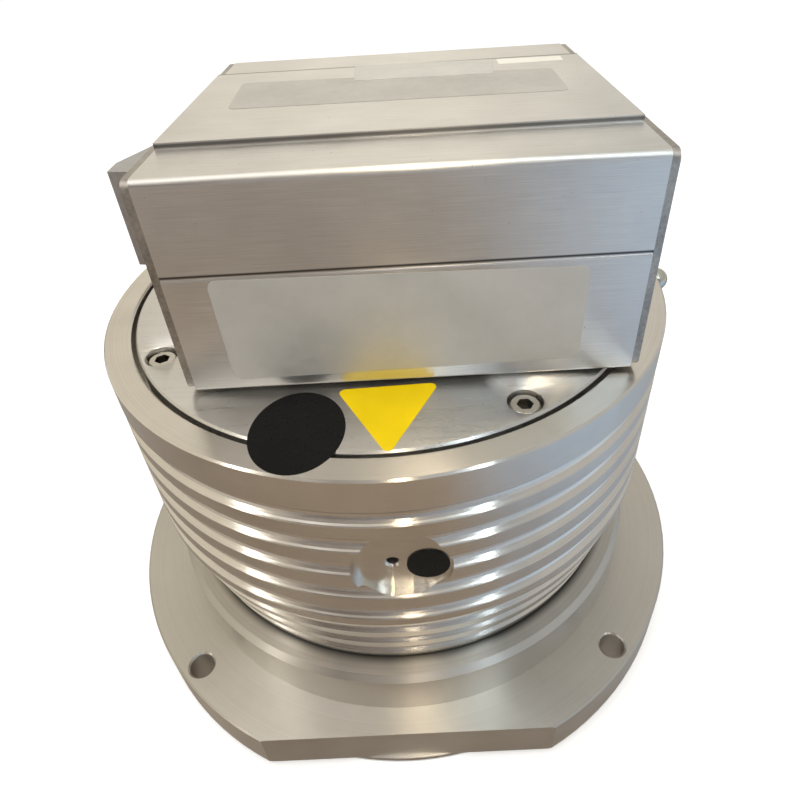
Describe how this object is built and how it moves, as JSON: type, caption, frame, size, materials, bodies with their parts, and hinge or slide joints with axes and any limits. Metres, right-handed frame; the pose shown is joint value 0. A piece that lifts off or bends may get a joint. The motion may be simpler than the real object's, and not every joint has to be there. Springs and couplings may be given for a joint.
{
  "type": "turbomolecular vacuum pump",
  "caption": "Turbomolecular vacuum pump standing on its inlet flange: ribbed round housing with a purge port, base cover and a square drive box on top; bladed rotor, motor and bearings inside.",
  "frame": {"origin": "centre of the inlet flange's bolting face, on the rotor's axis", "axes": "+Z along the rotor's axis from the inlet towards the drive box; -Y towards the side with the flange's flat cut and the purge port; +X to the right of that side"},
  "size_m": [0.23, 0.2326, 0.1994],
  "materials": {
    "turned_aluminium": "turned, satin",
    "cover_aluminium": "satin with a straight grain",
    "shell_aluminium": "brushed along its length",
    "end_plate_aluminium": "blasted, dull",
    "block_aluminium": "blasted, dull",
    "stator_aluminium": "machined",
    "spacer_aluminium": "machined",
    "rotor_aluminium": "milled, bright",
    "stainless_steel": "turned",
    "screw_steel": "smooth",
    "terminal_steel": "smooth, warm tint",
    "shaft_steel": "ground",
    "bearing_steel": "polished",
    "connector_steel": "plated",
    "magnet_alloy": "matt",
    "lamination_iron": "matt, laminated",
    "winding_copper": "lacquered wire",
    "contact_brass": "plated",
    "seal_rubber": "matt",
    "black_plastic": "matt",
    "cage_polymer": "smooth",
    "carbon_fibre": "wound fibre, resin gloss",
    "board_laminate": "lacquered",
    "component_plastic": "moulded"
  },
  "bodies": {
    "housing": {"main_housing": "turned_aluminium", "centring_ring": "stainless_steel", "inlet_seal": "seal_rubber", "inlet_screen": "stainless_steel", "spacer_ring_1": "spacer_aluminium", "spacer_ring_2": "spacer_aluminium", "spacer_ring_3": "spacer_aluminium", "spacer_ring_4": "spacer_aluminium", "spacer_ring_5": "spacer_aluminium", "spacer_ring_6": "spacer_aluminium", "stator_disc_1": "stator_aluminium", "stator_disc_2": "stator_aluminium", "stator_disc_3": "stator_aluminium", "stator_disc_4": "stator_aluminium", "stator_disc_5": "stator_aluminium", "drag_stator": "stator_aluminium", "outlet_ring": "stator_aluminium", "base_cover": "cover_aluminium", "cover_seal": "seal_rubber", "cover_screws": "screw_steel", "vent_cap": "black_plastic", "earth_screw": "terminal_steel", "foreline_port": "stainless_steel", "foreline_seal": "seal_rubber", "foreline_screws": "screw_steel", "motor_housing": "stator_aluminium", "motor_housing_screws": "screw_steel", "bearing_carrier": "stator_aluminium", "preload_spring": "bearing_steel", "outer_race_lower": "bearing_steel", "outer_race_upper": "bearing_steel", "damper_rings": "seal_rubber", "motor_laminations": "lamination_iron", "motor_windings": "winding_copper", "feedthrough": "stainless_steel", "feedthrough_seal": "seal_rubber", "feedthrough_pins": "contact_brass", "drive_lower_shell": "shell_aluminium", "drive_upper_shell": "shell_aluminium", "drive_left_plate": "end_plate_aluminium", "drive_right_plate": "end_plate_aluminium", "drive_plate_screws": "screw_steel", "drive_spacers": "screw_steel", "drive_screws": "screw_steel", "drive_board": "board_laminate", "drive_components": "component_plastic", "drive_plug": "black_plastic", "board_standoffs": "contact_brass", "connector_block": "block_aluminium", "signal_connector": "connector_steel"},
    "rotor": {"turbine_rotor": "rotor_aluminium", "shaft": "shaft_steel", "rotor_bolt": "screw_steel", "balance_ring": "stainless_steel", "drag_sleeve": "carbon_fibre", "motor_magnet": "magnet_alloy", "inner_race_lower": "bearing_steel", "inner_race_upper": "bearing_steel"},
    "cage_lower": {"bearing_cage_lower": "cage_polymer"},
    "cage_upper": {"bearing_cage_upper": "cage_polymer"}
  },
  "joints": [
    {"name": "rotor_spin", "type": "hinge", "parent": "housing", "child": "rotor", "pos_m": [0, 0, 0.05], "axis": [0, 0, 1], "continuous": true},
    {"name": "cage_lower_spin", "type": "hinge", "parent": "housing", "child": "cage_lower", "pos_m": [0, 0, 0.05], "axis": [0, 0, 1], "continuous": true},
    {"name": "cage_upper_spin", "type": "hinge", "parent": "housing", "child": "cage_upper", "pos_m": [0, 0, 0.11], "axis": [0, 0, 1], "continuous": true}
  ],
  "couplings": [
    {"joint": "cage_lower_spin", "follows": "rotor_spin", "ratio": 0.3667},
    {"joint": "cage_upper_spin", "follows": "rotor_spin", "ratio": 0.3667}
  ]
}
